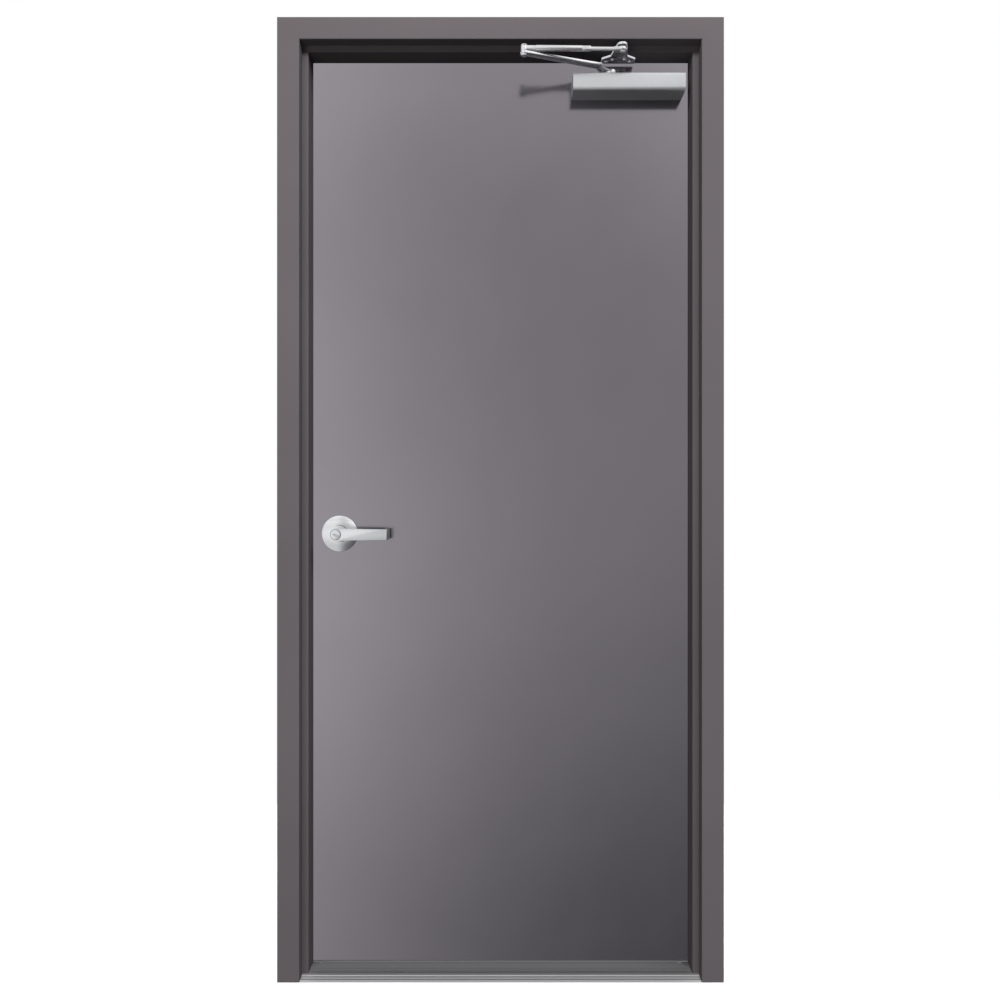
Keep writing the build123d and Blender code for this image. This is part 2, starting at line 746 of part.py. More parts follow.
# Key cylinder in the push lever, with its keyway
key_face = lock_front(leaf_push_y - lever_projection - key_cylinder_proud)
with BuildPart() as key_cylinder:
    with BuildSketch(key_face):
        Circle(key_cylinder_radius)
    extrude(amount=-(key_cylinder_length + key_cylinder_proud))
    with BuildSketch(key_face):
        Rectangle(keyway_length, keyway_width)
    extrude(amount=-keyway_depth, mode=Mode.SUBTRACT)
key_cylinder.part.label = "key_cylinder"
export_step(key_cylinder.part, "parts/key_cylinder.step")

# Turn button on the pull lever
with BuildPart() as turn_button:
    with BuildSketch(lock_front(leaf_pull_y + lever_projection)):
        Rectangle(2 * keyway_length, turn_button_width)
    extrude(amount=-turn_button_rise)
turn_button.part.label = "turn_button"
export_step(turn_button.part, "parts/turn_button.step")

# Closer body on its base plate, with the pinion's bore
cover_play = 2 * (cover_wall + cover_fit)
closer_middle_x = (closer_start_x + closer_end_x) / 2
closer_middle_z = (closer_top + closer_bottom) / 2
closer_middle = (closer_middle_x, leaf_push_y, closer_middle_z)
closer_base = Plane(origin=closer_middle, x_dir=(1, 0, 0), z_dir=(0, -1, 0))
pinion_axis = Plane(origin=(pinion_x, pinion_y, closer_top), x_dir=(1, 0, 0), z_dir=(0, 0, -1))
with BuildPart() as closer_body:
    with BuildSketch(closer_base):
        Rectangle(closer_length - cover_play, closer_height - cover_play)
    extrude(amount=closer_base_plate)
    with BuildSketch(closer_base):
        Rectangle(closer_length - 2 * closer_body_inset, closer_height - cover_play)
    extrude(amount=closer_projection - cover_wall - closer_body_front_gap)
    with BuildSketch(pinion_axis):
        Circle(pinion_radius + pinion_fit)
    extrude(amount=cover_wall + cover_fit + pinion_depth_inside, mode=Mode.SUBTRACT)
closer_body.part.label = "closer_body"
export_step(closer_body.part, "parts/closer_body.step")

# Closer cover: a shell that is open towards the leaf, rounded along its front
with BuildPart() as closer_cover:
    with BuildSketch(closer_base):
        Rectangle(closer_length, closer_height)
    extrude(amount=closer_projection)
    fillet(
        closer_cover.edges().filter_by(Axis.X).group_by(Axis.Y)[0],
        closer_front_radius,
    )
    offset(
        amount=-cover_wall,
        openings=closer_cover.faces().sort_by(Axis.Y)[-1],
        kind=Kind.INTERSECTION,
    )
    with BuildSketch(pinion_axis):
        Circle(pinion_radius + pinion_fit)
    extrude(amount=2 * cover_wall, mode=Mode.SUBTRACT)
closer_cover.part.label = "closer_cover"
export_step(closer_cover.part, "parts/closer_cover.step")

# Pinion, which turns with the main arm
with BuildPart() as pinion:
    with BuildSketch(pinion_axis.offset(-hub_disc_lift)):
        Circle(pinion_radius)
    extrude(amount=hub_disc_lift + cover_wall + pinion_depth_inside)
pinion.part.label = "pinion"
export_step(pinion.part, "parts/pinion.step")

# Main arm: a bar with a hub, one step up along it and a boss at the elbow
arm_plane = Plane(origin=(pinion_x, pinion_y, 0), z_dir=(0, 0, 1)).rotated((0, 0, main_arm_angle))
arm_side = Plane(
    origin=(pinion_x, pinion_y, 0),
    x_dir=arm_plane.x_dir,
    z_dir=-arm_plane.y_dir,
)
step_end = arm_step_start + arm_step_length
with BuildPart() as main_arm:
    with BuildSketch(arm_side):
        with BuildLine():
            Polyline(
                (-hub_disc_radius, hub_top),
                (arm_step_start, hub_top),
                (step_end, arm_top),
                (main_arm_length + elbow_radius, arm_top),
                (main_arm_length + elbow_radius, arm_bottom),
                (step_end + arm_step_offset, arm_bottom),
                (arm_step_start + arm_step_offset, hub_top - arm_thickness),
                (-hub_disc_radius, hub_top - arm_thickness),
                close=True,
            )
        make_face()
    extrude(amount=arm_width / 2, both=True)
    with BuildSketch(arm_plane):
        with BuildLine():
            Polyline(
                (0, arm_width / 2),
                (main_arm_length, arm_elbow_width / 2),
                (main_arm_length, -arm_elbow_width / 2),
                (0, -arm_width / 2),
                close=True,
            )
        make_face()
        Circle(arm_width / 2)
        with Locations((main_arm_length, 0)):
            Circle(arm_elbow_width / 2)
    extrude(amount=opening_height, mode=Mode.INTERSECT)
    with BuildSketch(arm_plane.offset(hub_bottom)):
        Circle(hub_disc_radius)
    extrude(amount=hub_disc_height)
    with BuildSketch(arm_plane.offset(arm_bottom - elbow_foot)):
        with Locations((main_arm_length, 0)):
            Circle(elbow_radius)
    extrude(amount=elbow_foot)
    with BuildSketch(arm_plane.offset(arm_bottom - elbow_foot)):
        with Locations((main_arm_length, 0)):
            Circle(elbow_pin_radius)
    extrude(amount=elbow_foot + arm_thickness, mode=Mode.SUBTRACT)
main_arm.part.label = "main_arm"
export_step(main_arm.part, "parts/main_arm.step")

# Elbow pin, carried by the main arm, with a cap over the forearm's eye
eye_bottom = arm_top + elbow_face_gap
elbow_top = bracket_underside
eye_top = elbow_top - elbow_cap - elbow_face_gap
with BuildPart() as elbow_pin:
    with BuildSketch(arm_plane.offset(arm_bottom - elbow_foot)):
        with Locations((main_arm_length, 0)):
            Circle(elbow_pin_radius)
    extrude(amount=elbow_top - arm_bottom + elbow_foot)
    with BuildSketch(arm_plane.offset(elbow_top - elbow_cap)):
        with Locations((main_arm_length, 0)):
            Circle(elbow_radius)
    extrude(amount=elbow_cap)
elbow_pin.part.label = "elbow_pin"
export_step(elbow_pin.part, "parts/elbow_pin.step")

# Forearm sleeve: an eye on the elbow pin, a flat neck and a bored sleeve
forearm_plane = Plane(origin=(elbow_x, elbow_y, 0), z_dir=(0, 0, 1)).rotated((0, 0, forearm_rest_angle))
forearm_side = Plane(
    origin=(elbow_x, elbow_y, forearm_z),
    x_dir=forearm_plane.x_dir,
    z_dir=-forearm_plane.y_dir,
)
sleeve_end = sleeve_start + sleeve_length
forearm_axis = Axis(forearm_side.origin, forearm_plane.x_dir)


def forearm_end(distance):
    """Plane square to the forearm at a distance from the elbow."""
    origin = forearm_side.from_local_coords((distance, 0, 0))
    return Plane(origin=origin, x_dir=(0, 0, 1), z_dir=forearm_plane.x_dir)


with BuildPart() as forearm_sleeve:
    with BuildSketch(forearm_side):
        with BuildLine():
            Polyline(
                (sleeve_start, 0),
                (sleeve_start, sleeve_radius),
                (sleeve_end, sleeve_radius),
                (sleeve_end, rod_radius),
                (sleeve_end - sleeve_bore_depth, rod_radius),
                (sleeve_end - sleeve_bore_depth, 0),
                close=True,
            )
        make_face()
    revolve(axis=forearm_axis)
    with BuildSketch(forearm_end(0)):
        Rectangle(neck_height, neck_width)
    extrude(amount=sleeve_start)
    with BuildSketch(forearm_plane.offset(eye_bottom)):
        Circle(elbow_radius)
    extrude(amount=eye_top - eye_bottom)
    with BuildSketch(forearm_plane.offset(arm_bottom)):
        Circle(elbow_pin_radius + elbow_running_fit)
    extrude(amount=elbow_top - arm_bottom, mode=Mode.SUBTRACT)
forearm_sleeve.part.label = "forearm_sleeve"
export_step(forearm_sleeve.part, "parts/forearm_sleeve.step")

# Clamping nut where the rod enters the sleeve
with BuildPart() as forearm_nut:
    with BuildSketch(forearm_end(sleeve_end)):
        RegularPolygon(nut_radius, 6)
        Circle(rod_radius, mode=Mode.SUBTRACT)
    extrude(amount=nut_length)
forearm_nut.part.label = "forearm_nut"
export_step(forearm_nut.part, "parts/forearm_nut.step")

# Rod, flattened into an eye under the bracket
rod_start = sleeve_end - sleeve_bore_depth
flat_start = forearm_length - eye_width
with BuildPart() as forearm_rod:
    with BuildSketch(forearm_end(rod_start)):
        Circle(rod_radius)
    extrude(amount=flat_start - rod_start + rod_into_eye)
    with BuildSketch(forearm_plane.offset(forearm_z - eye_thickness / 2)):
        with Locations((forearm_length, 0)):
            Circle(eye_width / 2)
        with Locations((forearm_length - eye_width / 2, 0)):
            Rectangle(eye_width, eye_neck_width)
    extrude(amount=eye_thickness)
    with BuildSketch(forearm_plane.offset(forearm_z - eye_thickness)):
        with Locations((forearm_length, 0)):
            Circle(pivot_bolt_radius)
    extrude(amount=2 * eye_thickness, mode=Mode.SUBTRACT)
forearm_rod.part.label = "forearm_rod"
export_step(forearm_rod.part, "parts/forearm_rod.step")

# Pivot bolt in the forearm's eye, ending just under the bracket
with BuildPart() as pivot_bolt:
    with BuildSketch(forearm_plane.offset(forearm_z - eye_thickness / 2)):
        with Locations((forearm_length, 0)):
            Circle(pivot_bolt_radius)
    extrude(amount=bracket_underside - open_pivot_clearance - forearm_z + eye_thickness / 2)
    with BuildSketch(forearm_plane.offset(forearm_z - eye_thickness / 2 - pivot_bolt_head_height)):
        with Locations((forearm_length, 0)):
            RegularPolygon(pivot_bolt_head_radius, 6)
    extrude(amount=pivot_bolt_head_height)
pivot_bolt.part.label = "pivot_bolt"
export_step(pivot_bolt.part, "parts/pivot_bolt.step")

# Bracket: a flat plate screwed up under the head stop, reaching out over the pivot
bracket_origin = (bracket_pivot_x, bracket_back_y, stop_underside)
bracket_plan = Plane(origin=bracket_origin, x_dir=(1, 0, 0), z_dir=(0, 0, -1))
with BuildPart() as arm_bracket:
    with BuildSketch(bracket_plan):
        with BuildLine():
            bracket_side = Polyline(
                (0, 0),
                (bracket_back_half, 0),
                (bracket_back_half, bracket_wing_length),
                (bracket_waist_half, bracket_waist_length),
                (bracket_neck_half, bracket_neck_length),
                (bracket_tip_radius, bracket_pivot_length),
                (0, bracket_pivot_length),
            )
            mirror(bracket_side, about=Plane.YZ)
        make_face()
        with Locations((0, bracket_pivot_length)):
            Circle(bracket_tip_radius)
        with Locations(
            (bracket_outer_screw_x, bracket_outer_screw_in),
            (-bracket_outer_screw_x, bracket_outer_screw_in),
            (bracket_inner_screw_x, bracket_inner_screw_in),
            (-bracket_inner_screw_x, bracket_inner_screw_in),
        ):
            Circle(bracket_screw_diameter / 2, mode=Mode.SUBTRACT)
    extrude(amount=bracket_plate)
arm_bracket.part.label = "arm_bracket"
export_step(arm_bracket.part, "parts/arm_bracket.step")
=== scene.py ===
import json
import math

import bmesh
import bpy
from mathutils import Matrix, Vector


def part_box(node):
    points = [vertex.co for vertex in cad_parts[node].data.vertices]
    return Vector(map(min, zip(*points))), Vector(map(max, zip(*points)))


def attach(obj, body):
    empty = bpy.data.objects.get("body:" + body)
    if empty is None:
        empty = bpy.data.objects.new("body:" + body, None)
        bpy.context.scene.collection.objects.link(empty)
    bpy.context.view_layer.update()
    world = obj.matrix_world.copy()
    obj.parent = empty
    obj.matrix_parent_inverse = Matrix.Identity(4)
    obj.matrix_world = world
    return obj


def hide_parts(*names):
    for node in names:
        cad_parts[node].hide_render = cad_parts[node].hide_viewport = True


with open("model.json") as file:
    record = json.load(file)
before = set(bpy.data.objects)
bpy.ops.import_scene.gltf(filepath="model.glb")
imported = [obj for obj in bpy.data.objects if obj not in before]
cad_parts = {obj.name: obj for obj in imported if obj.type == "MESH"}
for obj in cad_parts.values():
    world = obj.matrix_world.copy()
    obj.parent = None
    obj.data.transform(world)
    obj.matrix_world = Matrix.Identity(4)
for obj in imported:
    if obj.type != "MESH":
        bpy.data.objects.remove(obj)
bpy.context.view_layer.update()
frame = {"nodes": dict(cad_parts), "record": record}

# Where the photograph was taken from, and what it shows
push_face_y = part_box("hinge_jamb")[0].y
camera_distance = 2.255
camera_height = 1.1191
picture_width = 2.2715
sensor_width = 36.0
principal_row_shift = -0.010
middle_column_shift = -0.0005

# Sizes shared with the solids
face_width = 0.0508
hinge_inset = 0.038
hinges = ("bottom", "middle", "top")

# Places of the screws: x and depth from the push face in the threshold, x and distance from
# the back edge in the bracket, and height and depth in the hinge plates
threshold_screw_x = 0.423
threshold_screw_depth = 0.092
bracket_screws = ((0.0275, 0.011), (0.0138, 0.022))
hinge_screws = ((-0.043, 0.012), (-0.015, 0.027), (0.015, 0.027), (0.043, 0.012))
strike_screw_rise = 0.049
faceplate_screw_rise = 0.0225
faceplate_screw_inset = 0.0008
edge_bevel_slope = 0.063

# Screws, sized as the sockets and holes they sit in
countersunk_radius = 0.0042
bracket_screw_radius = 0.0044
hinge_screw_radius = 0.0056
plate_screw_radius = 0.0042
flush_dome = 0.0006
pan_dome = 0.0026
# Size of the dark cross of painted shade that stands for each screw's recess
recess_arm = 0.62
recess_width = 0.2
recess_depth = 0.0006
recess_rise = 0.00005

# Radius and height of the pin caps, and the dark rings of painted shade in the running gaps round turned
# pieces
pin_cap = (
    (0, -0.001), (0.0058, -0.001), (0.0058, 0.0012), (0.0050, 0.0021), (0.0030, 0.0026), (0, 0.0027),
)
ring_steps = 48
gap_width = 0.0009
gap_bottom = -0.0003
gap_top = 0.0001

# Strip under the leaf
seal_end_inset = 0.002
seal_thickness = 0.003
seal_rise = 0.0003

# Softening of the turned and pressed pieces' edges
sharp_angle = math.radians(32)
flat_angle = math.radians(0.6)
merge_distance = 1e-5
bevel_segments = 3

# Part of a noise's range over which it changes a colour or a number
noise_start = 0.3
noise_end = 0.7


# Shader helpers
def new_material(name):
    """Material with one shader on its output; returns the material, its tree and the shader."""
    material = bpy.data.materials.new(name)
    material.use_nodes = True
    tree = material.node_tree
    tree.nodes.clear()
    output = tree.nodes.new("ShaderNodeOutputMaterial")
    shader = tree.nodes.new("ShaderNodeBsdfPrincipled")
    tree.links.new(shader.outputs["BSDF"], output.inputs["Surface"])
    return material, tree, shader


def noise(tree, scale, stretch=(1, 1, 1), detail=4.0, roughness=0.55):
    """Noise in the object's own coordinates, in metres, stretched along some axes."""
    place = tree.nodes.new("ShaderNodeTexCoord")
    mapping = tree.nodes.new("ShaderNodeMapping")
    mapping.inputs["Scale"].default_value = stretch
    texture = tree.nodes.new("ShaderNodeTexNoise")
    texture.inputs["Scale"].default_value = scale
    texture.inputs["Detail"].default_value = detail
    texture.inputs["Roughness"].default_value = roughness
    tree.links.new(place.outputs["Object"], mapping.inputs["Vector"])
    tree.links.new(mapping.outputs["Vector"], texture.inputs["Vector"])
    return texture.outputs["Fac"]


def between(tree, factor, low, high, start=noise_start, end=noise_end):
    """Number that runs from low to high as the factor runs from start to end."""
    span = tree.nodes.new("ShaderNodeMapRange")
    span.inputs["From Min"].default_value = start
    span.inputs["From Max"].default_value = end
    span.inputs["To Min"].default_value = low
    span.inputs["To Max"].default_value = high
    tree.links.new(factor, span.inputs["Value"])
    return span.outputs["Result"]


def tint(tree, factor, low, high):
    """Colour that runs from low to high with a noise."""
    ramp = tree.nodes.new("ShaderNodeValToRGB")
    ramp.color_ramp.elements[0].position = noise_start
    ramp.color_ramp.elements[0].color = (*low, 1)
    ramp.color_ramp.elements[1].position = noise_end
    ramp.color_ramp.elements[1].color = (*high, 1)
    tree.links.new(factor, ramp.inputs["Fac"])
    return ramp.outputs["Color"]


def bump(tree, shader, height, distance):
    """Relief on the shader's normal."""
    relief = tree.nodes.new("ShaderNodeBump")
    relief.inputs["Distance"].default_value = distance
    relief.inputs["Strength"].default_value = 1.0
    tree.links.new(height, relief.inputs["Height"])
    tree.links.new(relief.outputs["Normal"], shader.inputs["Normal"])


def maths(tree, operation, first, second):
    """Result of one operation on two numbers, each given as a number or a socket."""
    node = tree.nodes.new("ShaderNodeMath")
    node.operation = operation
    for socket, value in zip(node.inputs, (first, second)):
        if isinstance(value, (int, float)):
            socket.default_value = value
        else:
            tree.links.new(value, socket)
    return node.outputs[0]


def srgb(red, green, blue):
    """Linear colour of an sRGB colour given in the 0 to 255 scale."""
    def linear(value):
        share = value / 255
        return share / 12.92 if share <= 0.04045 else ((share + 0.055) / 1.055) ** 2.4
    return linear(red), linear(green), linear(blue)


# Materials
def paint(name, dark, light, smooth, rough, peel, metallic=0.0, specular=0.5):
    """Baked paint on steel: slow tone drift, uneven gloss and a fine peel."""
    material, tree, shader = new_material(name)
    shader.inputs["Metallic"].default_value = metallic
    shader.inputs["Specular IOR Level"].default_value = specular
    drift = noise(tree, 2.2, detail=3)
    tree.links.new(tint(tree, drift, dark, light), shader.inputs["Base Color"])
    gloss = noise(tree, 9.0)
    tree.links.new(between(tree, gloss, smooth, rough), shader.inputs["Roughness"])
    bump(tree, shader, noise(tree, 420.0, detail=2), peel)
    return material


def brushed(name, dark, light, smooth, rough, stretch, scratch):
    """Metal with fine scratches along one axis."""
    material, tree, shader = new_material(name)
    shader.inputs["Metallic"].default_value = 1.0
    grain = noise(tree, 60.0, stretch, detail=6, roughness=0.7)
    tree.links.new(tint(tree, grain, dark, light), shader.inputs["Base Color"])
    tree.links.new(between(tree, grain, smooth, rough), shader.inputs["Roughness"])
    bump(tree, shader, grain, scratch)
    return material


def cast(name, dark, light, smooth, rough, scale, relief, metallic=0.0):
    """Plain material with a soft mottle and a fine grain."""
    material, tree, shader = new_material(name)
    shader.inputs["Metallic"].default_value = metallic
    mottle = noise(tree, scale)
    tree.links.new(tint(tree, mottle, dark, light), shader.inputs["Base Color"])
    tree.links.new(between(tree, mottle, smooth, rough), shader.inputs["Roughness"])
    bump(tree, shader, noise(tree, 12 * scale, detail=2), relief)
    return material


def threshold_painted_light():
    """Aluminium plate, on both faces, with painted light and shade in bands across its depth: painted
    highlights on the ramp, toe and crest, painted shade on the tread and in the flutes.
    """
    # Tones of the bands: painted highlights on the toe, the ramp and the crest; painted shade on the
    # tread and in the flutes
    toe_highlight, ramp, crest_highlight, tread, ramp_flute_shade, tread_flute_shade = 0.68, 0.57, 0.80, 0.24, 0.13, 0.165
    # Depth from the face and tone of each band of painted light and shade
    painted_light_bands = (
        (0.0, toe_highlight), (0.0059, ramp), (0.0093, ramp_flute_shade), (0.0128, ramp), (0.0162, 0.8 * ramp),
        (0.0197, 0.35 * ramp), (0.0231, crest_highlight), (0.0266, 0.65 * ramp), (0.0300, 1.1 * tread),
        (0.0346, 1.4 * tread_flute_shade), (0.0392, 1.5 * tread), (0.0438, tread_flute_shade), (0.0484, tread),
        (0.0530, 0.8 * tread), (0.0576, 0.9 * tread), (0.0622, tread),
    )
    material, tree, shader = new_material("threshold aluminium with painted light")
    shader.inputs["Metallic"].default_value = 0.3
    half_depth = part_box("threshold")[1].y
    place = tree.nodes.new("ShaderNodeTexCoord")
    split = tree.nodes.new("ShaderNodeSeparateXYZ")
    tree.links.new(place.outputs["Object"], split.inputs["Vector"])
    from_face = maths(tree, "SUBTRACT", half_depth, maths(tree, "ABSOLUTE", split.outputs["Y"], 0.0))
    # Bands of painted light and shade, in steps across the plate's depth
    painted_bands = tree.nodes.new("ShaderNodeValToRGB")
    painted_bands.color_ramp.interpolation = "CONSTANT"
    stops = painted_bands.color_ramp.elements
    for number, (distance, tone) in enumerate(painted_light_bands):
        stop = stops[number] if number < 2 else stops.new(distance / half_depth)
        stop.position = distance / half_depth
        stop.color = (tone, tone, 1.01 * tone, 1)
    tree.links.new(maths(tree, "DIVIDE", from_face, half_depth), painted_bands.inputs["Fac"])
    grain = noise(tree, 60.0, (0.05, 14, 14), detail=6, roughness=0.7)
    streaked = tree.nodes.new("ShaderNodeMix")
    streaked.data_type = "RGBA"
    streaked.blend_type = "MULTIPLY"
    streaked.inputs["Factor"].default_value = 1.0
    tree.links.new(painted_bands.outputs["Color"], streaked.inputs["A"])
    tree.links.new(tint(tree, grain, (0.9, 0.9, 0.9), (1.0, 1.0, 1.0)), streaked.inputs["B"])
    tree.links.new(streaked.outputs["Result"], shader.inputs["Base Color"])
    tree.links.new(between(tree, grain, 0.40, 0.50), shader.inputs["Roughness"])
    bump(tree, shader, grain, 0.00001)
    return material


finishes = {
    "frame_paint": paint("frame paint", srgb(112, 106, 109), srgb(118, 112, 115), 0.68, 0.76,
                         0.00003, specular=0.0),
    "leaf_paint": paint("leaf paint", srgb(128, 124, 130), srgb(132, 128, 134), 0.13, 0.16,
                        0.00001, metallic=0.96),
    "bare_steel": cast("bare steel", srgb(92, 92, 94), srgb(122, 121, 120), 0.45, 0.65, 14, 0.00005, 0.8),
    "honeycomb": cast("honeycomb", srgb(170, 138, 96), srgb(196, 164, 120), 0.85, 0.95, 90, 0.0004),
    # The threshold's material paints light and shade in bands across its depth
    "mill_aluminium": threshold_painted_light(),
    "satin_steel": brushed("satin steel", srgb(176, 176, 176), srgb(196, 196, 197), 0.30, 0.40,
                           (6, 6, 0.3), 0.00001),
    "grey_rubber": cast("grey rubber", srgb(88, 88, 90), srgb(104, 104, 106), 0.75, 0.9, 60, 0.0001),
    "satin_chrome": brushed("satin chrome", srgb(193, 194, 196), srgb(199, 200, 202), 0.20, 0.24,
                            (0.4, 8, 8), 0.000002),
    "closer_finish": cast("closer finish", srgb(190, 191, 193), srgb(193, 194, 196), 0.38, 0.42, 40,
                          0.00001, 0.35),
    "arm_steel": brushed("arm steel", srgb(198, 198, 200), srgb(210, 210, 212), 0.24, 0.30,
                         (0.4, 8, 8), 0.000003),
}
# Dark material that paints the shade of the screws' recesses and of the running gaps round turned pieces
painted_recess_shade = cast("painted shade in recesses and gaps", srgb(28, 28, 29), srgb(38, 38, 39), 0.6, 0.8, 300, 0.00002, 0.5)


def dress_nodes():
    """Gives every CAD node the finish of its slot."""
    for row in frame["record"]["subparts"]:
        mesh = frame["nodes"][row["node"]].data
        mesh.materials.clear()
        mesh.materials.append(finishes[row["material_slot"]])


# Pieces with softened edges that stand for CAD nodes
def body_of(node):
    """The body that a CAD node belongs to."""
    return next(body for body, nodes in frame["record"]["behaviour"]["bodies"].items() if node in nodes)


def slot_of(node):
    """The material slot of a CAD node."""
    return next(row["material_slot"] for row in frame["record"]["subparts"] if row["node"] == node)


def soften(node, radius):
    """Copy of a node whose sharp edges are rounded to a radius, if it has one, shown in its place."""
    mesh = bmesh.new()
    mesh.from_mesh(frame["nodes"][node].data)
    bmesh.ops.remove_doubles(mesh, verts=mesh.verts, dist=merge_distance)
    bmesh.ops.dissolve_limit(
        mesh, angle_limit=flat_angle, verts=mesh.verts, edges=mesh.edges, delimit=set()
    )
    sharp = [edge for edge in mesh.edges if edge.is_manifold and edge.calc_face_angle() > sharp_angle]
    if radius:
        bmesh.ops.bevel(
            mesh, geom=sharp, offset=radius, offset_type="OFFSET", segments=bevel_segments,
            profile=0.5, affect="EDGES", clamp_overlap=True, harden_normals=False,
        )
    data = bpy.data.meshes.new(node + "_shown")
    mesh.to_mesh(data)
    mesh.free()
    piece = bpy.data.objects.new(node + "_shown", data)
    bpy.context.scene.collection.objects.link(piece)
    data.materials.append(finishes[slot_of(node)])
    data.shade_smooth()
    data.set_sharp_from_angle(angle=sharp_angle)
    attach(piece, body_of(node))
    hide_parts(node)
    return piece


softened = {
    "lever_push": 0.0016, "lever_pull": 0.0016, "rose_push": 0.0008, "rose_pull": 0.0008,
    "key_cylinder": 0.0004, "turn_button": 0.0008, "closer_cover": 0.0012, "arm_bracket": 0.0008,
    "main_arm": 0.0007, "pinion": 0.0005, "elbow_pin": 0.0012, "forearm_sleeve": 0.0006,
    "forearm_nut": 0.0007, "forearm_rod": 0.0007, "pivot_bolt": 0.0007, "silencers": 0.0011,
    "strike_plate": 0.0004, "latch_faceplate": 0.0003, "latch_bolt": 0.0005,
}
for hinge in hinges:
    softened["frame_hinge_" + hinge] = 0.0006
    softened["leaf_hinge_" + hinge] = 0.0006

# Pieces close to the leaf that it doesn't mirror, and whose edges stay sharp
unmirrored = (
    "hinge_jamb", "strike_jamb", "head", "threshold", "hinge_jamb_anchor", "strike_jamb_anchor",
    "frame_hinge_reinforcements", "strike_box",
)


# Turned pieces, and screws with a low dome and a dark cross of painted shade for the recess
def show(name, mesh, material, body, smooth=True):
    """Object made of a bmesh, which rides a body and takes a slot."""
    data = bpy.data.meshes.new(name)
    mesh.to_mesh(data)
    mesh.free()
    data.materials.append(material)
    if smooth:
        data.shade_smooth()
        data.set_sharp_from_angle(angle=sharp_angle)
    piece = bpy.data.objects.new(name, data)
    bpy.context.scene.collection.objects.link(piece)
    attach(piece, body)
    return piece


def facing(place, outward):
    """Matrix that takes a piece drawn along +Z to a place, facing outward."""
    turn = Vector((0, 0, 1)).rotation_difference(Vector(outward)).to_matrix().to_4x4()
    return Matrix.Translation(Vector(place)) @ turn


def turned(name, profile, place, outward, body, slot, material=None):
    """Piece turned round an axis; the profile is a closed loop of radius and height."""
    mesh = bmesh.new()
    rings = []
    for radius, height in profile:
        ring = []
        for step in range(ring_steps):
            angle = 2 * math.pi * step / ring_steps
            ring.append(mesh.verts.new((radius * math.cos(angle), radius * math.sin(angle), height)))
        rings.append(ring)
    for lower, upper in zip(rings, rings[1:] + rings[:1]):
        for step in range(ring_steps):
            following = (step + 1) % ring_steps
            mesh.faces.new((lower[step], lower[following], upper[following], upper[step]))
    bmesh.ops.remove_doubles(mesh, verts=mesh.verts, dist=merge_distance)
    bmesh.ops.recalc_face_normals(mesh, faces=mesh.faces)
    mesh.transform(facing(place, outward))
    return show(name, mesh, material or finishes[slot], body)


def screw(name, place, outward, radius, dome, body, slot):
    """Screw head at a place on a face, and the dark cross of painted shade for its recess; outward is the
    face's normal.
    """
    profile = (
        (0, -dome / 2), (radius, -dome / 2), (radius, 0.3 * dome), (0.94 * radius, 0.6 * dome),
        (0.8 * radius, 0.85 * dome), (0.55 * radius, dome), (0, dome),
    )
    head = turned(name, profile, place, outward, body, slot)
    return head, recess(name + "_recess", facing(place, outward), radius, dome, body)


def recess(name, turn, radius, dome, body):
    """Dark cross laid just over the middle of a screw head: painted shade that stands for its
    cross-shaped recess.
    """
    mesh = bmesh.new()
    reach = radius * recess_arm
    half = radius * recess_width / 2
    outline = [
        (reach, -half), (reach, half), (half, half), (half, reach), (-half, reach), (-half, half),
        (-reach, half), (-reach, -half), (-half, -half), (-half, -reach), (half, -reach), (half, -half),
    ]
    top = dome + recess_rise
    upper = [mesh.verts.new((x, y, top)) for x, y in outline]
    lower = [mesh.verts.new((x, y, top - recess_depth)) for x, y in outline]
    mesh.faces.new(upper)
    mesh.faces.new(list(reversed(lower)))
    for step in range(len(outline)):
        following = (step + 1) % len(outline)
        mesh.faces.new((lower[step], lower[following], upper[following], upper[step]))
    mesh.transform(turn)
    return show(name, mesh, painted_recess_shade, body, smooth=False)


def middle(low, high):
    """Number half-way between two others."""
    return (low + high) / 2


def place_screws():
    """Screws of the threshold, which the leaf doesn't mirror, and of the bracket, strike and latch."""
    threshold_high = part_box("threshold")[1]
    for side, name in ((-1, "threshold_screw_strike"), (1, "threshold_screw_hinge")):
        place = (side * threshold_screw_x, push_face_y + threshold_screw_depth, threshold_high.z)
        for piece in screw(name, place, (0, 0, 1), countersunk_radius, flush_dome, "frame",
                           "satin_steel"):
            piece.visible_glossy = False
    bracket_low, bracket_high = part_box("arm_bracket")
    bracket_x = middle(bracket_low.x, bracket_high.x)
    for row, (across, inwards) in enumerate(bracket_screws):
        for side, name in ((-1, "left"), (1, "right")):
            place = (bracket_x + side * across, bracket_high.y - inwards, bracket_low.z)
            screw(f"bracket_screw_{name}_{row}", place, (0, 0, -1), bracket_screw_radius, pan_dome,
                  "frame", "arm_steel")
    place_hinge_screws()
    strike_low, strike_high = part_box("strike_plate")
    latch_low, latch_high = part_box("latch_faceplate")
    latch_y = middle(latch_low.y, latch_high.y)
    lock_z = middle(strike_low.z, strike_high.z)
    opening_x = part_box("hinge_jamb")[1].x - face_width
    for side, name in ((-1, "lower"), (1, "upper")):
        screw(f"strike_screw_{name}", (-opening_x, latch_y, lock_z + side * strike_screw_rise),
              (1, 0, 0), plate_screw_radius, flush_dome, "frame", "satin_steel")
        place = (latch_low.x + faceplate_screw_inset, latch_y, lock_z + side * faceplate_screw_rise)
        screw(f"faceplate_screw_{name}", place, (-1, -edge_bevel_slope, 0), plate_screw_radius,
              flush_dome, "leaf", "satin_steel")


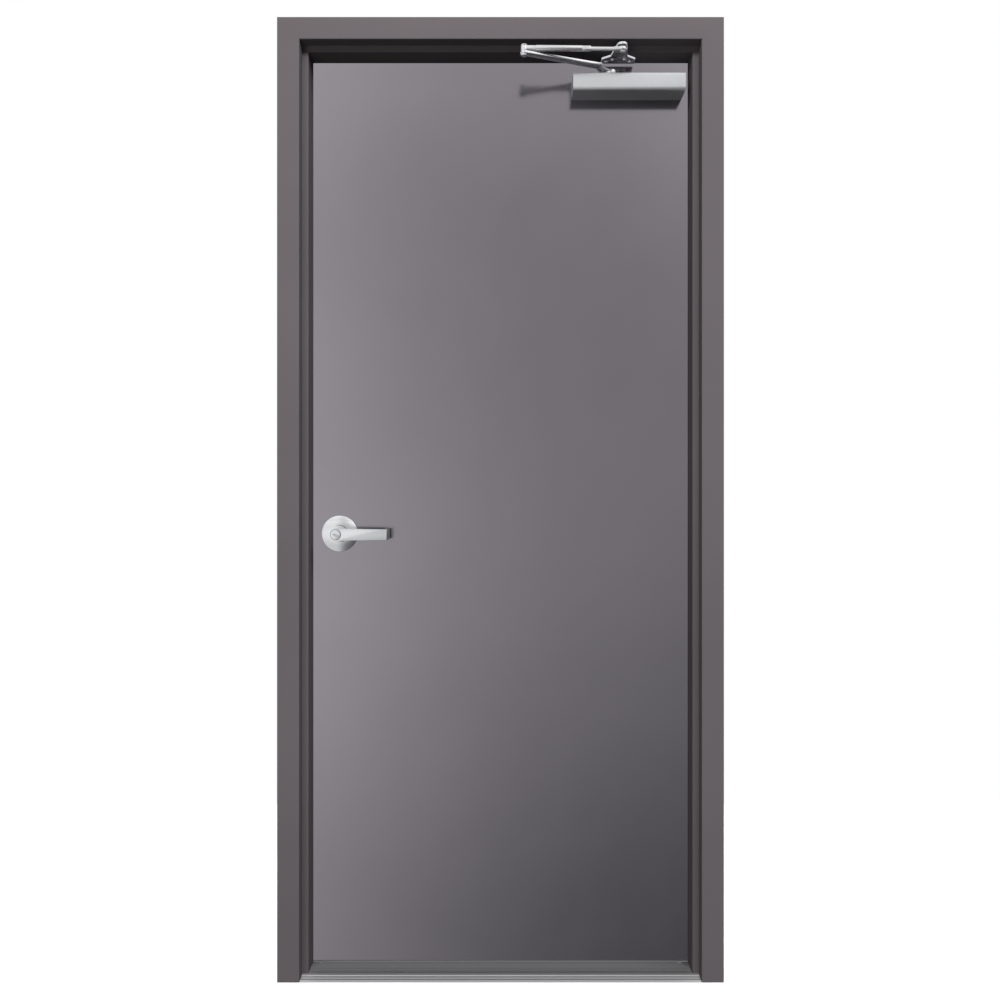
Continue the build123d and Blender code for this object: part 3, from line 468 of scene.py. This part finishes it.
def place_hinge_screws():
    """Four screws in each hinge plate, in two staggered rows, and caps on the pins' ends."""
    frame_face_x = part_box("hinge_jamb")[1].x - face_width
    leaf_face_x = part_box("push_skin")[1].x
    for hinge in hinges:
        frame_low, frame_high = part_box("frame_hinge_" + hinge)
        leaf_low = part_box("leaf_hinge_" + hinge)[0]
        height = middle(frame_low.z, frame_high.z)
        for row, (rise, inwards) in enumerate(hinge_screws):
            screw(f"frame_hinge_screw_{hinge}_{row}",
                  (frame_face_x, frame_low.y + hinge_inset - inwards, height + rise),
                  (-1, 0, 0), hinge_screw_radius, flush_dome, "frame", "satin_steel")
            screw(f"leaf_hinge_screw_{hinge}_{row}",
                  (leaf_face_x, leaf_low.y + hinge_inset - inwards, height + rise),
                  (1, 0, 0), hinge_screw_radius, flush_dome, "leaf", "satin_steel")
        knuckle_radius = (frame_high.x - frame_low.x) / 2
        pin = (frame_high.x - knuckle_radius, frame_high.y - knuckle_radius)
        for end, outward, name in ((frame_high.z, 1, "top"), (frame_low.z, -1, "foot")):
            turned(f"pin_cap_{hinge}_{name}", pin_cap, (*pin, end), (0, 0, outward), "frame",
                   "satin_steel")


def painted_gap_shade(name, place, radius, body):
    """Dark ring of painted shade for the running gap round a turned piece, laid on the face that the
    piece stands in or on.
    """
    inner, outer = radius - gap_width / 2, radius + gap_width / 2
    profile = ((inner, gap_bottom), (outer, gap_bottom), (outer, gap_top), (inner, gap_top))
    turned(name, profile, place, (0, -1, 0), body, "satin_chrome", painted_recess_shade)


def ring_lock():
    """Dark rings of painted shade in the running gaps round the key cylinder and round the lever's hub.
    """
    key_low, key_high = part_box("key_cylinder")
    lever_low, lever_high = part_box("lever_push")
    rose_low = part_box("rose_push")[0]
    key_radius = (key_high.x - key_low.x) / 2
    hub_radius = (lever_high.z - lever_low.z) / 2
    key_x, key_z = middle(key_low.x, key_high.x), middle(key_low.z, key_high.z)
    painted_gap_shade("key_cylinder_gap_shade", (key_x, lever_low.y, key_z), key_radius + gap_width / 2, "lever")
    painted_gap_shade("hub_gap_shade", (key_x, rose_low.y, key_z), hub_radius + gap_width / 4, "leaf")


def seal_bottom():
    """Strip that closes the gap between the leaf's push face and the threshold."""
    skin_low, skin_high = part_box("push_skin")
    sides = (skin_low.x + seal_end_inset, skin_high.x)
    faces = (skin_low.y, skin_low.y + seal_thickness)
    heights = (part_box("threshold")[1].z + seal_rise, skin_low.z)
    mesh = bmesh.new()
    corners = [mesh.verts.new((x, y, z)) for x in sides for y in faces for z in heights]
    for face in ((0, 1, 3, 2), (4, 6, 7, 5), (0, 4, 5, 1), (2, 3, 7, 6), (0, 2, 6, 4), (1, 5, 7, 3)):
        mesh.faces.new([corners[corner] for corner in face])
    bmesh.ops.recalc_face_normals(mesh, faces=mesh.faces)
    show("bottom_seal", mesh, finishes["leaf_paint"], "leaf", smooth=False)


# Stage, light and camera
def by_ray(tree, rest, choices):
    """Shader that differs by the kind of ray: rest, unless one of the choices holds."""
    path = tree.nodes.new("ShaderNodeLightPath")
    result = rest
    for ray, shader in choices:
        choose = tree.nodes.new("ShaderNodeMixShader")
        tree.links.new(path.outputs[ray], choose.inputs["Fac"])
        tree.links.new(result, choose.inputs[1])
        tree.links.new(shader, choose.inputs[2])
        result = choose.outputs[0]
    return result


def build_stage():
    """Pale floor that shows white to the camera and keeps the object's shadow."""
    half_width = 6.0
    front_y = -6.0
    back_y = 1.2
    own_light = 0.86
    pale_tone = 0.8
    dull_tone = 0.1
    data = bpy.data.meshes.new("floor")
    data.from_pydata(
        [
            (-half_width, front_y, 0), (half_width, front_y, 0),
            (half_width, back_y, 0), (-half_width, back_y, 0),
        ],
        [], [(0, 1, 2, 3)],
    )
    material = bpy.data.materials.new("pale floor")
    material.use_nodes = True
    tree = material.node_tree
    tree.nodes.clear()
    output = tree.nodes.new("ShaderNodeOutputMaterial")
    seen = tree.nodes.new("ShaderNodeAddShader")
    glow = tree.nodes.new("ShaderNodeEmission")
    glow.inputs["Strength"].default_value = own_light
    pale = tree.nodes.new("ShaderNodeBsdfDiffuse")
    pale.inputs["Color"].default_value = (pale_tone, pale_tone, pale_tone, 1)
    dull = tree.nodes.new("ShaderNodeBsdfDiffuse")
    dull.inputs["Color"].default_value = (dull_tone, dull_tone, dull_tone, 1)
    through = tree.nodes.new("ShaderNodeBsdfTransparent")
    tree.links.new(glow.outputs[0], seen.inputs[0])
    tree.links.new(pale.outputs[0], seen.inputs[1])
    mixed = by_ray(tree, dull.outputs[0], (
        ("Is Glossy Ray", through.outputs[0]), ("Is Transmission Ray", through.outputs[0]),
        ("Is Camera Ray", seen.outputs[0]),
    ))
    tree.links.new(mixed, output.inputs["Surface"])
    data.materials.append(material)
    floor = bpy.data.objects.new("floor", data)
    bpy.context.scene.collection.objects.link(floor)


# Name, place, aim, width, height, power in watts and colour
neutral = (1.0, 1.0, 1.0)
cool = (0.92, 0.97, 1.0)
lamps = (
    ("overhead", (0, -5.0, 5.2), (0, 0, 0.8), 9.0, 1.6, 410, neutral),
    ("high_right", (4.0, -2.4, 5.0), (0, 0, 1.1), 2.0, 2.0, 75, cool),
    ("front_left", (-1.6, -4.2, 1.0), (0, 0, 0.8), 2.0, 1.6, 23, neutral),
    ("front_right", (1.6, -4.2, 1.0), (0, 0, 0.8), 2.0, 1.6, 4, neutral),
    ("behind", (0.6, 3.4, 3.2), (0, 0, 1.1), 3.0, 2.0, 110, neutral),
)


def soft_light(name, place, aim, width, height, power, colour):
    """Rectangular soft light that points at a place and doesn't show in polished faces."""
    data = bpy.data.lights.new(name, "AREA")
    data.shape = "RECTANGLE"
    data.size = width
    data.size_y = height
    data.energy = power
    data.color = colour
    light = bpy.data.objects.new(name, data)
    light.location = place
    light.rotation_euler = (Vector(aim) - Vector(place)).to_track_quat("-Z", "Y").to_euler()
    light.visible_glossy = False
    bpy.context.scene.collection.objects.link(light)


def studio_glow(tree):
    """Brightness of the studio by direction, as polished faces show it.

    A soft screen stands in front, brighter at the left; it darkens low at the right and at
    the far sides, and a brighter panel hangs above it. Behind the door the studio is even.
    The screen's brightness is a polynomial: each slope stands by its powers of the direction
    across and upward, and past the limits the brightness stays as it is there.
    """
    level = 0.83
    slopes = {
        (1, 0): -1.73, (0, 1): -0.2, (2, 0): 5.36, (1, 1): 2.08, (0, 2): -2.77, (0, 3): 6.38,
        (1, 2): 4.05, (2, 1): 6.93, (0, 4): 14.6, (2, 2): 13.91,
    }
    across_limit = 0.2
    upward_limit = 0.42
    panel = 0.4
    behind_level = 0.8
    place = tree.nodes.new("ShaderNodeTexCoord")
    split = tree.nodes.new("ShaderNodeSeparateXYZ")
    tree.links.new(place.outputs["Generated"], split.inputs["Vector"])
    sideways, inwards, height = split.outputs["X"], split.outputs["Y"], split.outputs["Z"]
    across = clamped(tree, sideways, across_limit)
    upward = clamped(tree, height, upward_limit)
    total = level
    for (across_power, upward_power), slope in slopes.items():
        term = slope
        for factor in [across] * across_power + [upward] * upward_power:
            term = maths(tree, "MULTIPLY", term, factor)
        total = maths(tree, "ADD", total, term)
    right = between(tree, sideways, 0.0, 1.0, 0.25, 0.6)
    gain = between(tree, height, -0.5, 0.5, 0.1, 0.4)
    low_right = maths(tree, "ADD", 1.0, maths(tree, "MULTIPLY", right, gain))
    total = maths(tree, "MULTIPLY", total, low_right)
    top_edge = between(tree, height, 1.0, 0.7, 0.43, 0.5)
    total = maths(tree, "MULTIPLY", total, top_edge)
    total = maths(tree, "ADD", total, between(tree, height, 0.0, panel, 0.5, 0.65))
    far_side = between(tree, maths(tree, "ABSOLUTE", sideways, 0.0), 1.0, 0.6, 0.8, 0.95)
    total = maths(tree, "MULTIPLY", total, far_side)
    front = between(tree, inwards, 1.0, 0.0, 0.0, 0.3)
    behind = between(tree, inwards, 0.0, behind_level, 0.0, 0.3)
    return maths(tree, "ADD", maths(tree, "MULTIPLY", total, front), behind)


def clamped(tree, value, limit):
    """Value kept between minus and plus the limit."""
    clamp = tree.nodes.new("ShaderNodeClamp")
    clamp.inputs["Min"].default_value = -limit
    clamp.inputs["Max"].default_value = limit
    tree.links.new(value, clamp.inputs["Value"])
    return clamp.outputs["Result"]


def background(tree, strength):
    """White background of a strength, given as a number or a socket."""
    node = tree.nodes.new("ShaderNodeBackground")
    node.inputs["Color"].default_value = (1, 1, 1, 1)
    if isinstance(strength, (int, float)):
        node.inputs["Strength"].default_value = strength
    else:
        tree.links.new(strength, node.inputs["Strength"])
    return node.outputs[0]


def build_world():
    """White to the camera, a soft screen to polished faces and a dim room to everything else.

    The screen shows in polished faces only where the camera sees them, so the leaf doesn't
    throw it into the frame's rebates.
    """
    room_level = 0.05
    world = bpy.data.worlds.new("studio")
    bpy.context.scene.world = world
    world.use_nodes = True
    tree = world.node_tree
    tree.nodes.clear()
    output = tree.nodes.new("ShaderNodeOutputWorld")
    white = background(tree, 1.0)
    screen = background(tree, studio_glow(tree))
    room = background(tree, room_level)
    path = tree.nodes.new("ShaderNodeLightPath")
    direct = maths(tree, "LESS_THAN", path.outputs["Diffuse Depth"], 0.5)
    seen = tree.nodes.new("ShaderNodeMixShader")
    tree.links.new(direct, seen.inputs["Fac"])
    tree.links.new(room, seen.inputs[1])
    tree.links.new(screen, seen.inputs[2])
    mixed = by_ray(tree, room, (
        ("Is Glossy Ray", seen.outputs[0]), ("Is Transmission Ray", white), ("Is Camera Ray", white),
    ))
    tree.links.new(mixed, output.inputs["Surface"])


def build_camera():
    """Camera square to the push face, as the photograph was taken."""
    data = bpy.data.cameras.new("photograph")
    data.sensor_width = sensor_width
    data.lens = sensor_width * camera_distance / picture_width
    data.shift_x = middle_column_shift
    data.shift_y = principal_row_shift
    camera = bpy.data.objects.new("photograph", data)
    camera.location = (0, push_face_y - camera_distance, camera_height)
    camera.rotation_euler = (math.pi / 2, 0, 0)
    bpy.context.scene.collection.objects.link(camera)
    bpy.context.scene.camera = camera


dress_nodes()
for node, radius in softened.items():
    soften(node, radius)
for node in unmirrored:
    soften(node, 0).visible_glossy = False
ring_lock()
seal_bottom()
place_screws()
build_stage()
build_world()
build_camera()
for lamp in lamps:
    soft_light(*lamp)
bpy.context.scene.view_settings.view_transform = "Standard"
